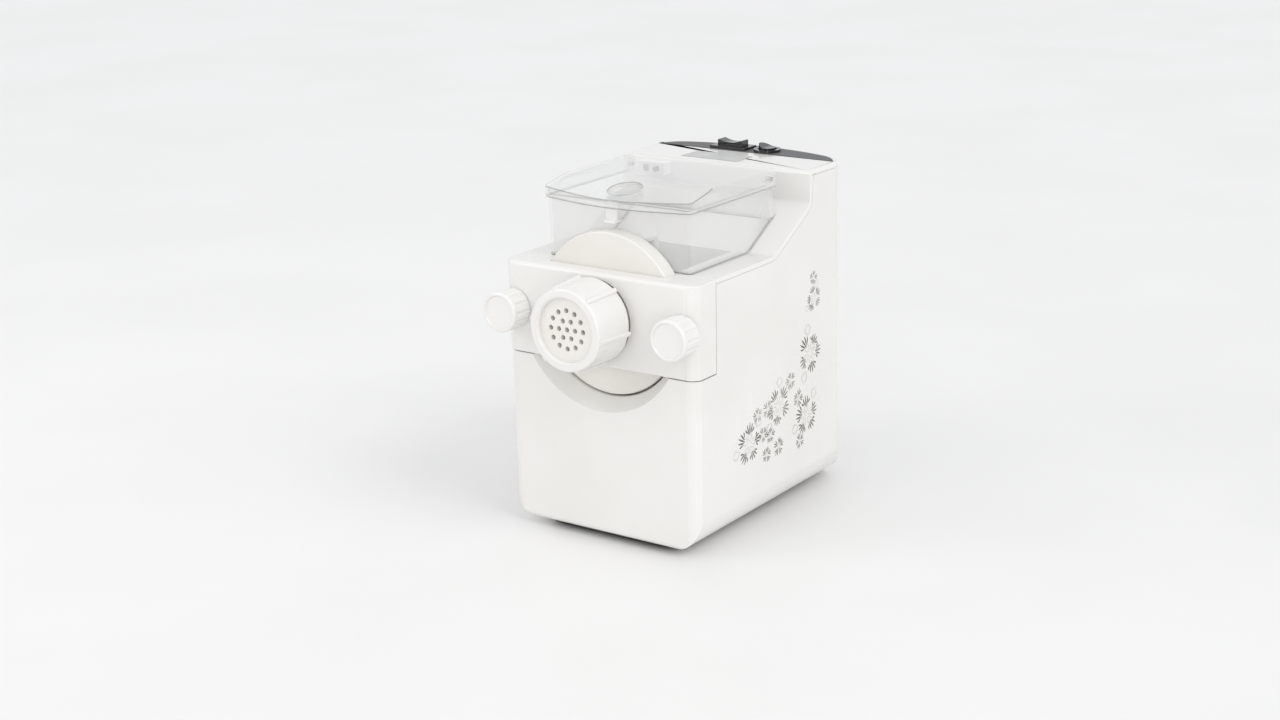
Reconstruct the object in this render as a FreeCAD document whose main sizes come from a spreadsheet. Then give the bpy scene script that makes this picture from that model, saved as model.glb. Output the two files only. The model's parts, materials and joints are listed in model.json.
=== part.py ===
"""Electric pasta maker with a clear mixing bowl on its deck, a geared drive behind it and a die at its nose.

Machine axes: X to the right seen from the front, Y towards the rear, Z up from the table.
Each piece is drawn with Y zero on the front panel's face and is then moved by front_y, which puts
the origin under the middle of the whole machine.
"""
import FreeCAD, Part
import math
import os
import Sketcher
from FreeCAD import Rotation, Vector

os.makedirs("parts", exist_ok=True)
doc = FreeCAD.newDocument("pasta_maker")
sheet = doc.addObject("Spreadsheet::Sheet", "sizes")


class Dim:
    """A length that carries its number and the expression that gives it."""

    def __init__(self, number, text):
        self.number = number
        self.text = text

    def join(self, other, sign, number):
        return Dim(number, "(%s %s %s)" % (self.text, sign, other.text))

    def __add__(self, other):
        other = dim(other)
        return self.join(other, "+", self.number + other.number)

    def __radd__(self, other):
        return dim(other) + self

    def __sub__(self, other):
        other = dim(other)
        return self.join(other, "-", self.number - other.number)

    def __rsub__(self, other):
        return dim(other) - self

    def __mul__(self, other):
        other = dim(other)
        return self.join(other, "*", self.number * other.number)

    def __rmul__(self, other):
        return dim(other) * self

    def __truediv__(self, other):
        other = dim(other)
        return self.join(other, "/", self.number / other.number)

    def __rtruediv__(self, other):
        return dim(other) / self

    def __neg__(self):
        return dim(0) - self


def dim(value):
    return value if isinstance(value, Dim) else Dim(float(value), repr(float(value)))


def root(value):
    return Dim(math.sqrt(value.number), "sqrt(%s)" % value.text)


def size(alias, number, note):
    """Write one driving size into the sheet and return it."""
    size.row += 1
    sheet.set("A%d" % size.row, str(number))
    sheet.setAlias("A%d" % size.row, alias)
    sheet.set("B%d" % size.row, note)
    return Dim(float(number), "sizes." + alias)


size.row = 0

# Outside of the machine
half_width = size("half_width", 100, "middle plane to a side at the head")
foot_width = size("foot_width", 97.5, "middle plane to a side at the base, after the draft")
base_height = size("base_height", 6.5, "table to the body's lower edge")
deck_height = size("deck_height", 239, "table to the deck")
head_height = size("head_height", 301.7, "table to the top of the head")
rear_side = size("rear_side", 248, "front face to the rear corners before rounding")
rear_peak = size("rear_peak", 276, "front face to the point that the bowed rear is rounded from")
rear_bow = size("rear_bow", 235, "plan radius of the bowed rear")
front_corner = size("front_corner", 14, "plan radius of the front corners")
rear_corner = size("rear_corner", 38, "plan radius of the rear corners")
roll_under = size("roll_under", 28, "radius under each side")
toe_round = size("toe_round", 6, "radius under the front")
head_round = size("head_round", 6, "radius along the head's sides")
lower_setback = size("lower_setback", 1.5, "lower front behind the panel's face")
ramp_start = size("ramp_start", 122.8, "front face to the foot of the ramp")
ramp_end = size("ramp_end", 181, "front face to the foot of the head's face")
ramp_top = size("ramp_top", 271.8, "table to the top of the ramp")
head_lean = size("head_lean", 2, "backward lean of the head's face")
deck_bend = size("deck_bend", 14, "radius where the deck meets the ramp")
ramp_bend = size("ramp_bend", 7, "radius where the ramp meets the head's face")
head_edge = size("head_edge", 4, "radius at the head's front edge")
cover_thick = size("cover_thick", 4, "thickness of the top cover")
wall = size("wall", 3, "thickness of the moulded walls")
seam = size("seam", 0.3, "gap between pieces that lie side by side")

# Front panel and the chamber behind it
panel_bottom = size("panel_bottom", 158.7, "table to the panel's lower edge")
panel_depth = size("panel_depth", 31.2, "depth of the panel's sides")
panel_gap = size("panel_gap", 0.8, "gap under the panel")
panel_round = size("panel_round", 4, "radius along the panel's upper edge")
panel_hole = size("panel_hole", 34, "radius of the hole round the nozzle")
axis_height = size("axis_height", 200, "table to the axis of nozzle and auger")
plate_radius = size("plate_radius", 70.6, "radius of the chamber plate")
plate_face = size("plate_face", 16.5, "panel's face to the chamber plate's face")
plate_web = size("plate_web", 7.5, "thickness of the chamber plate's web")
rim_thick = size("rim_thick", 3.8, "thickness of the chamber plate's rim")
gasket_thick = size("gasket_thick", 2, "squeezed thickness of the chamber gasket")
gasket_inset = size("gasket_inset", 0.4, "gap round the chamber gasket")
recess_gap = size("recess_gap", 1.6, "gap round the chamber plate's chin")
scoop_flare = size("scoop_flare", 11, "widening of the recess at the lower front")
tub_radius = size("tub_radius", 62, "inner radius of the mixing tub")
tub_wall = size("tub_wall", 3, "thickness of the tub's wall")
tub_back = size("tub_back", 117, "front face to the outside of the tub's rear wall")
tub_gap = size("tub_gap", 0.5, "gap between tub and body")
tub_flange = size("tub_flange", 2, "thickness of the tub's flange on the deck")
flange_reach = size("flange_reach", 4, "width of the tub's flange")
mouth_wall = size("mouth_wall", 2, "thickness of the shoulder round the tub's mouth")
bowl_side = size("bowl_side", 73.5, "middle plane to the bowl's side")
bowl_front = size("bowl_front", 32.6, "front face to the bowl's front")
bowl_back = size("bowl_back", 163, "front face to the bowl's rear")
bowl_rim = size("bowl_rim", 293, "table to the bowl's rim")
bowl_wall = size("bowl_wall", 2.5, "thickness of the bowl's walls")
bowl_corner = size("bowl_corner", 5, "plan radius of the bowl's corners")

# Names that say where things start and end
panel_back = panel_depth
wall_front = panel_depth + seam
tub_outer = tub_radius + tub_wall
tub_front = plate_face + plate_web + gasket_thick
slope = (ramp_top - deck_height) / (ramp_end - ramp_start)
slant = root(slope * slope + 1)

nut_gap = size("nut_gap", 4.6, "panel's face to the nut's rear face")
nut_length = size("nut_length", 40.9, "length of the die nut")
inlet_flange = size("inlet_flange", 1.5, "how far the power inlet's flange stands out")
rise = rear_peak - rear_side
stretch = root(half_width * half_width + rise * rise) / half_width
rear_depth = rear_peak - rear_bow * (stretch - 1)
front_y = (nut_gap + nut_length - rear_depth - inlet_flange) / 2

nodes = []
places = {}


def node(label, item, across=0, along=0, up=0):
    """Name a finished piece and move it to its place in the machine."""
    item.Label = label
    across, along, up = places.get(item.Name, (across, along, up))
    bind(item, "Placement.Base.x", dim(across))
    bind(item, "Placement.Base.y", front_y + along)
    bind(item, "Placement.Base.z", dim(up))
    nodes.append(item)
    return item


def bind(item, field, value):
    item.setExpression(field, dim(value).text)


def origin_part(body, role):
    for part in body.Origin.OriginFeatures:
        if part.Role == role:
            return part


def new_body(name):
    return doc.addObject("PartDesign::Body", name)


def new_sketch(body, name, role, offset=0):
    sketch = body.newObject("Sketcher::SketchObject", name)
    sketch.AttachmentSupport = [(origin_part(body, role), "")]
    sketch.MapMode = "FlatFace"
    bind(sketch, "AttachmentOffset.Base.z", offset)
    return sketch


def rule(sketch, value, *what):
    """Add one sized constraint and tie it to its value."""
    index = sketch.addConstraint(Sketcher.Constraint(*what, dim(value).number))
    sketch.setExpression("Constraints[%d]" % index, dim(value).text)


def pin_point(sketch, item, end, across, up):
    rule(sketch, across, "DistanceX", -1, 1, item, end)
    rule(sketch, up, "DistanceY", -1, 1, item, end)


def circle(sketch, radius, across=0, up=0):
    place = Vector(dim(across).number, dim(up).number, 0)
    item = sketch.addGeometry(Part.Circle(place, Vector(0, 0, 1), dim(radius).number), False)
    rule(sketch, radius, "Radius", item)
    pin_point(sketch, item, 3, across, up)
    return item


def corner_arc(before, corner, after, radius):
    """Return the arc that rounds a corner and whether it runs from the line before to the line after."""
    back = (before - corner).normalize()
    ahead = (after - corner).normalize()
    half = math.acos(max(-1, min(1, back.dot(ahead)))) / 2
    centre = corner + (back + ahead).normalize() * (radius / math.sin(half))
    first = corner + back * (radius / math.tan(half))
    last = corner + ahead * (radius / math.tan(half))
    leftward = back.cross(ahead).z < 0
    start, stop = (first, last) if leftward else (last, first)
    angles = [math.atan2(point.y - centre.y, point.x - centre.x) for point in (start, stop)]
    arc = Part.ArcOfCircle(Part.Circle(centre, Vector(0, 0, 1), radius), angles[0], angles[1])
    return arc, leftward, first, last


def profile(sketch, corners):
    """Draw a closed line through corners given as (across, up) or (across, up, radius)."""
    places = [Vector(dim(c[0]).number, dim(c[1]).number, 0) for c in corners]
    count = len(corners)
    rounds = {}
    for i, c in enumerate(corners):
        if len(c) == 3:
            rounds[i] = corner_arc(places[i - 1], places[i], places[(i + 1) % count], dim(c[2]).number)
    lines = []
    for i in range(count):
        after = (i + 1) % count
        start = rounds[i][3] if i in rounds else places[i]
        stop = rounds[after][2] if after in rounds else places[after]
        lines.append(sketch.addGeometry(Part.LineSegment(start, stop), False))
    for i, c in enumerate(corners):
        before = lines[i - 1]
        if i not in rounds:
            sketch.addConstraint(Sketcher.Constraint("Coincident", before, 2, lines[i], 1))
            pin_point(sketch, lines[i], 1, c[0], c[1])
            continue
        arc, leftward = rounds[i][0], rounds[i][1]
        bend = sketch.addGeometry(arc, False)
        ends = (1, 2) if leftward else (2, 1)
        sketch.addConstraint(Sketcher.Constraint("Tangent", before, 2, bend, ends[0]))
        sketch.addConstraint(Sketcher.Constraint("Tangent", lines[i], 1, bend, ends[1]))
        rule(sketch, c[2], "Radius", bend)
        apex = sketch.addGeometry(Part.Point(places[i]), True)
        pin_point(sketch, apex, 1, c[0], c[1])
        sketch.addConstraint(Sketcher.Constraint("PointOnObject", apex, 1, before))
        sketch.addConstraint(Sketcher.Constraint("PointOnObject", apex, 1, lines[i]))
    return lines


def pad(body, name, sketch, length, backwards=False):
    item = body.newObject("PartDesign::Pad", name)
    item.Profile = sketch
    bind(item, "Length", length)
    item.Reversed = backwards
    return item


def pocket_through(body, name, sketch):
    item = body.newObject("PartDesign::Pocket", name)
    item.Profile = sketch
    item.Type = "ThroughAll"
    return item


def sideways_block(name, corners, reach):
    """A side view (along, up) stretched the same way to both sides of the middle plane."""
    body = new_body(name)
    sketch = new_sketch(body, name + "_view", "YZ_Plane", -dim(reach))
    profile(sketch, corners)
    pad(body, name + "_pad", sketch, dim(reach) * 2)
    return body


def lengthways_block(name, corners, start, stop):
    """A front view (across, up) stretched from start to stop along Y."""
    body = new_body(name)
    sketch = new_sketch(body, name + "_view", "XZ_Plane", -dim(start))
    profile(sketch, corners)
    pad(body, name + "_pad", sketch, dim(stop) - start, True)
    return body


def upright_block(name, corners, bottom, top):
    """A plan (across, along) stretched from bottom to top."""
    body = new_body(name)
    sketch = new_sketch(body, name + "_view", "XY_Plane", bottom)
    profile(sketch, corners)
    pad(body, name + "_pad", sketch, dim(top) - bottom)
    return body


def turned(name, corners):
    """A half section (along Y, radius) turned round the piece's own Y axis."""
    body = new_body(name)
    sketch = new_sketch(body, name + "_section", "YZ_Plane")
    profile(sketch, corners)
    item = body.newObject("PartDesign::Revolution", name + "_turn")
    item.Profile = sketch
    item.ReferenceAxis = (origin_part(body, "Y_Axis"), [""])
    item.Angle = 360
    return body


def polar(body, name, features, count):
    """Repeat features evenly round the piece's own Y axis."""
    item = body.newObject("PartDesign::PolarPattern", name)
    item.Originals = features
    item.Axis = (origin_part(body, "Y_Axis"), [""])
    item.Angle = 360
    item.Occurrences = count
    body.Tip = item
    return item


def block(name, left, right, front, back, bottom, top):
    item = doc.addObject("Part::Box", name)
    for field, low, high, place in (("Length", left, right, "x"), ("Width", front, back, "y"),
                                    ("Height", bottom, top, "z")):
        bind(item, field, dim(high) - low)
        bind(item, "Placement.Base." + place, low)
    places[item.Name] = (left, front, bottom)
    return item


def rod_along(name, radius, front, back, across=0, up=0):
    """A cylinder along Y."""
    item = doc.addObject("Part::Cylinder", name)
    item.Placement.Rotation = Rotation(Vector(1, 0, 0), -90)
    return set_rod(item, radius, dim(back) - front, across, front, up)


def rod_across(name, radius, left, right, along, up):
    """A cylinder along X."""
    item = doc.addObject("Part::Cylinder", name)
    item.Placement.Rotation = Rotation(Vector(0, 1, 0), 90)
    return set_rod(item, radius, dim(right) - left, left, along, up)


def rod_up(name, radius, bottom, top, across, along):
    """A cylinder along Z."""
    item = doc.addObject("Part::Cylinder", name)
    return set_rod(item, radius, dim(top) - bottom, across, along, bottom)


def set_rod(item, radius, length, across, along, up):
    bind(item, "Radius", radius)
    bind(item, "Height", length)
    bind(item, "Placement.Base.x", across)
    bind(item, "Placement.Base.y", along)
    bind(item, "Placement.Base.z", up)
    places[item.Name] = (across, along, up)
    return item


def fuse(name, *items):
    item = doc.addObject("Part::MultiFuse", name)
    item.Shapes = list(items)
    item.Refine = True
    return item


def common(name, *items):
    item = doc.addObject("Part::MultiCommon", name)
    item.Shapes = list(items)
    return item


def cut(name, base, *tools):
    item = doc.addObject("Part::Cut", name)
    item.Base = base
    item.Tool = tools[0] if len(tools) == 1 else fuse(name + "_tools", *tools)
    item.Refine = True
    return item


def plan_block(name, inset, front, bottom, top):
    """The machine's plan with its bowed rear, drawn in by an inset."""
    inset = dim(inset)
    side = half_width - inset
    peak = rear_peak - inset * stretch
    rear = peak - side * rise / half_width
    corner = front_corner - inset
    corners = [(-side, front, corner), (side, front, corner), (side, rear, rear_corner - inset),
               (dim(0), peak, rear_bow - inset), (-side, rear, rear_corner - inset)]
    return upright_block(name, corners, bottom, top)


def front_block(name, inset, start, stop):
    """The machine's front view with its drafted sides and round underside."""
    inset = dim(inset)
    foot = foot_width - inset
    head = half_width - inset
    corners = [(-foot, base_height, roll_under - inset), (foot, base_height, roll_under - inset),
               (head, head_height, head_round), (-head, head_height, head_round)]
    return lengthways_block(name, corners, start, stop)


def skyline(drop):
    """Deck, ramp and head's face in side view from front to rear, lowered by a thickness."""
    drop = dim(drop)
    deck = deck_height - drop
    foot = ramp_start + drop * (slant - 1) / slope
    head = ramp_end + drop
    crest = deck_height - drop * slant + (head - ramp_start) * slope
    return [(foot, deck, deck_bend + drop), (head, crest, ramp_bend + drop),
            (head + head_lean, head_height - drop, head_edge)]


def u_channel(name, radius, top, start, stop):
    """A trough section, round below the axis and straight above it, from start to stop along Y."""
    radius = dim(radius)
    low = axis_height - radius
    return lengthways_block(name, [(-radius, low, radius * 0.999), (radius, low, radius * 0.999),
                                   (radius, top), (-radius, top)], start, stop)


beyond = rear_peak + 20
above = head_height + 20

# Housing: the hollow body of the machine, open at the top and at the bottom
housing_view = [(lower_setback, base_height, toe_round), (beyond, base_height),
    (beyond, head_height - cover_thick)]
housing_view += reversed(skyline(cover_thick))
housing_view += [(wall_front, deck_height - cover_thick), (wall_front, panel_bottom - panel_gap),
                 (lower_setback, panel_bottom - panel_gap)]
housing_outside = common("housing_outside", plan_block("housing_plan", 0, lower_setback, 0, above),
                         sideways_block("housing_side", housing_view, half_width),
                         front_block("housing_front", 0, lower_setback, beyond))
floor_top = base_height + wall
hollow_front = [(wall - foot_width, floor_top, roll_under - wall),
    (foot_width - wall, floor_top, roll_under - wall), (half_width - wall, above),
    (wall - half_width, above)]
hollow_view = [(lower_setback + wall, floor_top), (beyond, floor_top), (beyond, above),
    (wall_front + wall, above), (wall_front + wall, panel_bottom - panel_gap - wall),
    (lower_setback + wall, panel_bottom - panel_gap - wall)]
recess_radius = plate_radius + recess_gap
scoop = turned("scoop", [(lower_setback - 1, dim(0)), (wall_front, dim(0)), (wall_front, recess_radius),
                         (plate_face, recess_radius, 6), (lower_setback - 1, recess_radius + scoop_flare)])
scoop_wall = turned("scoop_wall", [(lower_setback - 1, dim(0)), (wall_front + wall, dim(0)),
                                   (wall_front + wall, recess_radius + wall),
                                   (plate_face, recess_radius + wall, 6),
                                   (lower_setback - 1, recess_radius + scoop_flare + wall)])
for part in (scoop, scoop_wall):
    bind(part, "Placement.Base.z", axis_height)
hollow = cut("hollow", common("hollow_whole", plan_block("hollow_plan", wall, lower_setback + wall, -wall,
            above), sideways_block("hollow_side", hollow_view, half_width),
        lengthways_block("hollow_front", hollow_front, lower_setback, beyond)), scoop_wall)
tub_way = tub_outer + tub_gap
base_side = size("base_side", 66, "half the width of the base plate")
base_front = size("base_front", 9, "front face to the base plate's edge")
base_rear = size("base_rear", 238, "front face to the base plate's rear edge")
base_lip = size("base_lip", 7, "width of the floor that the base plate lies against")
base_thick = size("base_thick", 3, "thickness of the base plate")
vent_count = size("vent_count", 7, "number of air slots in the rear wall")
vent_pitch = size("vent_pitch", 7, "height from one air slot to the next")
vent_slot = size("vent_slot", 3, "height of an air slot")
vent_side = size("vent_side", 26, "half the length of an air slot")
vent_bottom = size("vent_bottom", 96, "table to the lowest air slot")
inlet_side = size("inlet_side", 14.5, "half the width of the power inlet's body")
inlet_half = size("inlet_half", 10.5, "half the height of the power inlet's body")
flange_side = size("flange_side", 19, "half the width of the power inlet's flange")
flange_half = size("flange_half", 14, "half the height of the power inlet's flange")
flange_sink = size("flange_sink", 1.2, "depth that the inlet's flange lies in the rear wall")
inlet_height = size("inlet_height", 42, "table to the middle of the power inlet")
stud_across = size("stud_across", 87, "middle plane to a knob's screw")
stud_height = size("stud_height", 198.2, "table to a knob's screw")
insert_radius = size("insert_radius", 5, "outer radius of the threaded inserts")
insert_bore = size("insert_bore", 3, "radius of the knobs' screws")
insert_length = size("insert_length", 14, "length of the threaded inserts")
press = size("press", 0.01, "gap round a pressed-in piece")
slip = size("slip", 0.05, "gap round a piece that turns or slides")

slot_low = block("vent_slot_low", -vent_side, vent_side, rear_side - wall, beyond, vent_bottom,
                 vent_bottom + vent_slot)
slots = [slot_low]
for i in range(1, int(vent_count.number)):
    slots.append(block("vent_slot_%d" % i, -vent_side, vent_side, rear_side - wall, beyond,
                       vent_bottom + vent_pitch * i, vent_bottom + vent_pitch * i + vent_slot))
bosses = [rod_along("boss_%d" % i, insert_radius + wall, wall_front, wall_front + insert_length,
                    stud_across * side, stud_height) for i, side in enumerate((-1, 1))]
boss_holes = [rod_along("boss_hole_%d" % i, insert_radius + press, wall_front - 1,
        wall_front + insert_length + 1, stud_across * side, stud_height) for i, side in enumerate((-1, 1))]
housing_shell = fuse("housing_shell", cut("housing_moulding", housing_outside, hollow, scoop),
                     common("boss_ends", fuse("bosses", *bosses), plan_block("boss_plan", 0, 0, 0, above)))
housing = cut("housing_cut", housing_shell, u_channel("tub_passage", tub_way, above, wall_front - 1,
        wall_front + wall + 1), block("base_opening", base_lip - base_side, base_side - base_lip,
        base_front + base_lip, base_rear - base_lip, base_height - 1, floor_top + 1),
    block("inlet_opening", -inlet_side, inlet_side, rear_side - wall, beyond, inlet_height - inlet_half,
        inlet_height + inlet_half), block("inlet_seat", -flange_side - seam, flange_side + seam,
        rear_depth - flange_sink, beyond, inlet_height - flange_half - seam,
        inlet_height + flange_half + seam), *boss_holes, *slots)
node("housing", housing)

# Top cover: deck, ramp and head in one skin
cover_view = [(wall_front, deck_height)] + skyline(0) + [(beyond, head_height),
    (beyond, head_height - cover_thick)]
cover_view += reversed(skyline(cover_thick))
cover_view += [(wall_front, deck_height - cover_thick)]
panel_inset = size("panel_inset", 5, "head's rear edge to the control panel")
panel_chord = size("panel_chord", 232, "front face to the control panel's front edge")
panel_sink = size("panel_sink", 2, "depth that the control panel lies in the head")
switch_along = size("switch_along", 245, "front face to the middle of the switches")
big_across = size("big_across", -20, "middle plane to the large rocker")
small_across = size("small_across", 17, "middle plane to the small rocker")
big_side = size("big_side", 15, "half the length of the large rocker's hole")
big_half = size("big_half", 7, "half the width of the large rocker's hole")
small_radius = size("small_radius", 10, "radius of the small rocker's hole")
cover_skin = common("cover_skin", plan_block("cover_plan", 0, 0, 0, above),
                    sideways_block("cover_side", cover_view, half_width),
                    front_block("cover_front", 0, 0, beyond))
panel_bed = common("panel_bed", plan_block("panel_bed_plan", panel_inset - seam, 0,
        head_height - panel_sink, above), block("panel_bed_half", -half_width, half_width,
        panel_chord - seam, beyond, head_height - panel_sink, above))
cover = cut("cover_cut", cover_skin,
            block("tub_well", -tub_way, tub_way, 0, tub_back + tub_gap, 0, above - 60), panel_bed,
            block("big_hole", big_across - big_side, big_across + big_side, switch_along - big_half,
                  switch_along + big_half, head_height - 20, above),
            rod_up("small_hole", small_radius, head_height - 20, above, small_across, switch_along))
node("top_cover", cover)

# Crescent control panel
crescent = common("crescent", plan_block("crescent_plan", panel_inset, 0, head_height - panel_sink,
        head_height + seam), block("crescent_half", -half_width, half_width, panel_chord, beyond, 0, above))
node("control_panel", cut("crescent_cut", crescent,
                          block("crescent_big", big_across - big_side, big_across + big_side,
                                switch_along - big_half, switch_along + big_half, 0, above),
                          rod_up("crescent_small", small_radius, 0, above, small_across, switch_along)))

# Front panel
panel_corners = [(dim(0), panel_bottom, 2), (panel_back, panel_bottom), (panel_back, deck_height),
                 (dim(0), deck_height, panel_round)]
panel_hollow = [(wall, panel_bottom + wall), (panel_back + 1, panel_bottom + wall),
                (panel_back + 1, deck_height - wall), (wall, deck_height - wall)]
panel_solid = common("panel_solid", plan_block("panel_plan", 0, 0, 0, above),
                     sideways_block("panel_side", panel_corners, half_width),
                     front_block("panel_front", 0, 0, panel_back))
panel_inside = common("panel_inside", plan_block("panel_in_plan", wall, wall, 0, above),
                      sideways_block("panel_in_side", panel_hollow, half_width),
                      lengthways_block("panel_in_front", hollow_front, 0, panel_back + 1))
collar_radius = size("collar_radius", 8, "radius of the posts round the knobs' screws")
collars = [rod_along("collar_%d" % i, collar_radius, 1, panel_back, stud_across * side, stud_height)
           for i, side in enumerate((-1, 1))]
screw_ways = [rod_along("screw_way_%d" % i, insert_bore + slip, -1, panel_back + 1, stud_across * side,
        stud_height) for i, side in enumerate((-1, 1))]
panel_shell = fuse("panel_shell", cut("panel_moulding", panel_solid, panel_inside),
    common("collar_ends", fuse("collars", *collars), plan_block("collar_plan", 0, 0, 0, above)))
panel = cut("panel_cut", panel_shell,
            rod_along("plate_room", plate_radius + seam, plate_face - seam, panel_back + 1, 0, axis_height),
            rod_along("nozzle_room", panel_hole, -1, plate_face, 0, axis_height), *screw_ways)
node("front_panel", panel)
node("threaded_inserts", fuse("inserts", *[cut("insert_%d" % i,
                rod_along("insert_rod_%d" % i, insert_radius, wall_front, wall_front + insert_length,
                    stud_across * side, stud_height), rod_along("insert_way_%d" % i, insert_bore + slip,
                    wall_front - 1, wall_front + insert_length + 1, stud_across * side, stud_height)) for i,
            side in enumerate((-1, 1))]))

# Chamber plate with its nozzle neck, gasket, die, seal and nut
neck_outer = size("neck_outer", 32, "outer radius of the nozzle neck")
neck_inner = size("neck_inner", 25, "inner radius of the nozzle neck")
die_thick = size("die_thick", 6, "thickness of the die")
die_edge = size("die_edge", 31, "radius of the die")
seal_thick = size("seal_thick", 1.5, "thickness of the die's seal")
nut_lip = size("nut_lip", 4, "thickness of the nut's front lip")
nut_mouth = size("nut_mouth", 27.4, "radius of the nut's mouth")
nut_rear = size("nut_rear", 36.6, "outer radius of the nut at its rear")
nut_front = size("nut_front", 35.3, "outer radius of the nut at its front")
nut_bore = neck_outer + 0.06
lug_count = size("lug_count", 6, "number of grips round the nut")
lug_reach = size("lug_reach", 40, "radius to the top of a grip")
lug_width = size("lug_width", 12, "width of a grip at its foot")
lug_turn = size("lug_turn", -10, "angle of the first grip above the horizontal")
lip_back = nut_lip - nut_gap - nut_length
die_back = lip_back + die_thick
neck_front = die_back + seal_thick
plate_back = plate_face + plate_web

plate = turned("plate", [(neck_front, neck_inner), (neck_front, neck_outer), (plate_face, neck_outer),
                         (plate_face, plate_radius, 1.5), (panel_back, plate_radius),
                         (panel_back, plate_radius - rim_thick), (plate_back, plate_radius - rim_thick),
                         (plate_back, neck_inner)])
node("chamber_plate", plate, 0, 0, axis_height)
gasket_outer = tub_outer
node("chamber_gasket", turned("gasket", [(plate_back, tub_radius + gasket_inset),
            (plate_back, gasket_outer), (tub_front, gasket_outer), (tub_front, tub_radius + gasket_inset)]),
    0, 0, axis_height)

hole_radius = size("hole_radius", 2.2, "radius of a noodle hole")
ring_step = size("ring_step", 8.2, "distance from one ring of noodle holes to the next")
die = new_body("die")
die_sketch = new_sketch(die, "die_view", "XZ_Plane", -lip_back)
circle(die_sketch, die_edge)
pad(die, "die_pad", die_sketch, die_thick, True)
doc.recompute()
mid_sketch = new_sketch(die, "mid_hole", "XZ_Plane", -lip_back)
circle(mid_sketch, hole_radius)
pocket_through(die, "mid_pocket", mid_sketch)
for ring, count in ((1, 6), (2, 12)):
    doc.recompute()
    hole_sketch = new_sketch(die, "hole_%d" % ring, "XZ_Plane", -lip_back)
    circle(hole_sketch, hole_radius, ring_step * ring, 0)
    hole = pocket_through(die, "hole_pocket_%d" % ring, hole_sketch)
    polar(die, "hole_ring_%d" % ring, [hole], count)
node("pasta_die", die, 0, 0, axis_height)
node("die_seal", turned("seal", [(die_back, neck_inner), (die_back, die_edge), (neck_front, die_edge),
                                 (neck_front, neck_inner)]), 0, 0, axis_height)

nut = turned("nut", [(-nut_gap, nut_bore), (-nut_gap, nut_rear, 1), (-nut_gap - nut_length, nut_front, 2),
                     (-nut_gap - nut_length, nut_mouth + 1.5), (-nut_gap - nut_length + 1.5, nut_mouth),
                     (lip_back, nut_mouth), (lip_back, nut_bore)])
lug_foot = nut_front - 3
lug_sketch = new_sketch(nut, "lug_view", "XZ_Plane", nut_gap + 1.5)
profile(lug_sketch, [(lug_foot, -lug_width / 2), (lug_reach - 1, -lug_width / 3, 1.2),
        (lug_reach, lug_width / 4, 1.5), (lug_foot, lug_width / 2)])
lug = pad(nut, "lug", lug_sketch, nut_length - 3)
polar(nut, "lugs", [lug], int(lug_count.number))
node("die_nut", nut, 0, 0, axis_height)
nut.Placement.Rotation = Rotation(Vector(0, 1, 0), -lug_turn.number)

# Knobs: fluted grips on captive screws that hold the front panel
knob_length = size("knob_length", 22.6, "length of a knob")
knob_radius = size("knob_radius", 16.8, "radius of a knob's rim")
knob_rim = size("knob_rim", 2.6, "width of the rim round a knob's face")
knob_sink = size("knob_sink", 1.2, "depth of a knob's face")
knob_gap = size("knob_gap", 0.4, "gap between a knob and the panel")
flute_count = size("flute_count", 14, "number of flutes round a knob")
flute_radius = size("flute_radius", 2.6, "radius of a flute")
screw_end = wall_front + insert_length - 2
for name, side in (("left", -1), ("right", 1)):
    tip = -knob_gap - knob_length
    knob = turned("knob_" + name, [(-knob_gap, insert_bore + press), (-knob_gap, knob_radius - 0.6, 1),
            (tip, knob_radius, 2), (tip, knob_radius - knob_rim),
            (tip + knob_sink, knob_radius - knob_rim - 0.6), (tip + knob_sink, dim(0)), (tip + 6, dim(0)),
            (tip + 6, insert_bore + press)])
    flute_sketch = new_sketch(knob, "flute_view_" + name, "XZ_Plane", knob_gap - 1)
    circle(flute_sketch, flute_radius, knob_radius + flute_radius * 0.55, 0)
    flute = knob.newObject("PartDesign::Pocket", "flute_" + name)
    flute.Profile = flute_sketch
    bind(flute, "Length", knob_length - 3)
    flute.Reversed = True
    polar(knob, "flutes_" + name, [flute], int(flute_count.number))
    node("knob_" + name, knob, stud_across * side, 0, stud_height)
    node("knob_screw_" + name, turned("screw_" + name, [(tip + 6 + press, dim(0)),
                (tip + 6 + press, insert_bore), (screw_end, insert_bore, 1), (screw_end, dim(0))]),
        stud_across * side, 0, stud_height)

# Mixing tub under the deck
bush_radius = size("bush_radius", 16, "outer radius of the tub's bush")
shaft_radius = size("shaft_radius", 9, "radius of the drive shaft")
mouth_back = wall_front + mouth_wall
tub_body = cut("tub_cut", fuse("tub_whole", rod_along("tub_mouth", tub_outer, tub_front, wall_front, 0,
            axis_height), u_channel("tub_trough", tub_outer, deck_height, wall_front, tub_back),
        block("tub_ledge", -tub_outer - flange_reach, tub_outer + flange_reach,
            bowl_front + bowl_wall + seam, tub_back, deck_height, deck_height + tub_flange)),
    rod_along("tub_mouth_way", tub_radius, tub_front - 1, mouth_back, 0, axis_height),
    u_channel("tub_hollow", tub_radius, above, mouth_back, tub_back - tub_wall),
    rod_along("tub_bush_way", bush_radius + press, tub_back - tub_wall - 1, tub_back + 1, 0, axis_height))
node("mixing_tub", tub_body)
bush_length = size("bush_length", 12, "length of the tub's bush")
bush_lip = size("bush_lip", 2, "thickness of the bush's collar")
node("tub_bush", turned("bush", [(tub_back - tub_wall, shaft_radius + slip),
            (tub_back - tub_wall, bush_radius), (tub_back, bush_radius), (tub_back, bush_radius + 4),
            (tub_back + bush_lip, bush_radius + 4), (tub_back + bush_lip, bush_radius),
            (tub_back + bush_length, bush_radius), (tub_back + bush_length, shaft_radius + slip)]), 0, 0,
    axis_height)

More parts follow.
